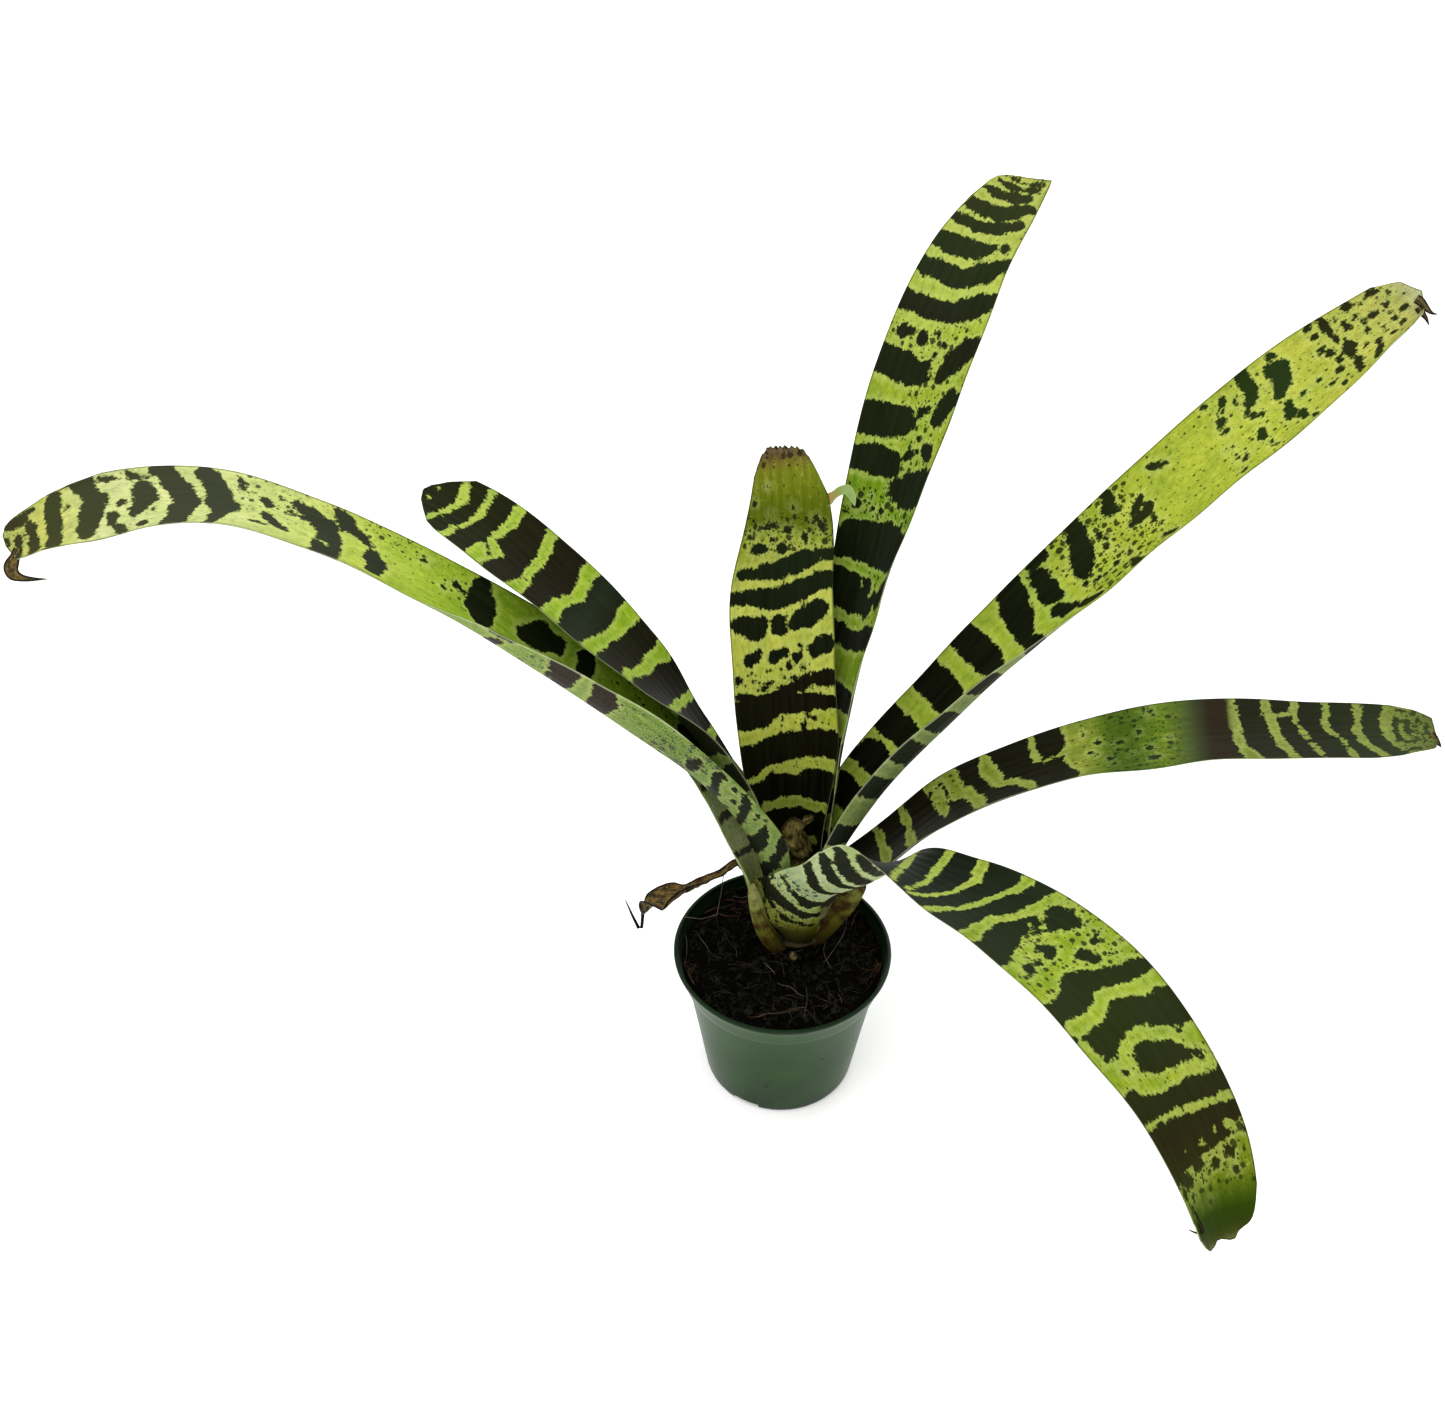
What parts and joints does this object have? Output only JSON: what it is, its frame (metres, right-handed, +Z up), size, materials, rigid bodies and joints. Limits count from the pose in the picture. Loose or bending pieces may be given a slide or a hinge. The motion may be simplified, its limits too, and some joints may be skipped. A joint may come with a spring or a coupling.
{
  "type": "potted splenriet vriesea",
  "caption": "Banded bromeliad, a loose rosette of long strap leaves with dark cross bands, growing from a short rootstock in a filled green plastic nursery pot.",
  "frame": {"origin": "centre of the pot's flat base, on the surface that the pot stands on", "axes": "+Z up; +X to the side of the long right-hand leaves, along the widest spread of the rosette; -Y towards the side from which the drooping front leaf is seen"},
  "size_m": [0.6024, 0.3884, 0.4081],
  "materials": {
    "pot": "satin",
    "soil": "matte",
    "rootstock": "matte",
    "leaf_1_left": "satin",
    "leaf_2_upper_left": "satin",
    "leaf_3_centre": "satin",
    "leaf_4_upper_right": "satin",
    "leaf_5_right": "satin",
    "leaf_6_right_low": "satin",
    "leaf_7_front_right": "satin",
    "leaf_8_under_left": "satin",
    "dead_leaf": "matte",
    "dry_centre_leaf": "matte",
    "young_leaf": "satin"
  },
  "bodies": {
    "root": {"pot": "pot", "soil": "soil", "rootstock": "rootstock", "leaf_1_left": "leaf_1_left", "leaf_2_upper_left": "leaf_2_upper_left", "leaf_3_centre": "leaf_3_centre", "leaf_4_upper_right": "leaf_4_upper_right", "leaf_5_right": "leaf_5_right", "leaf_6_right_low": "leaf_6_right_low", "leaf_7_front_right": "leaf_7_front_right", "leaf_8_under_left": "leaf_8_under_left", "dead_leaf": "dead_leaf", "dry_centre_leaf": "dry_centre_leaf", "young_leaf": "young_leaf"}
  },
  "joints": []
}
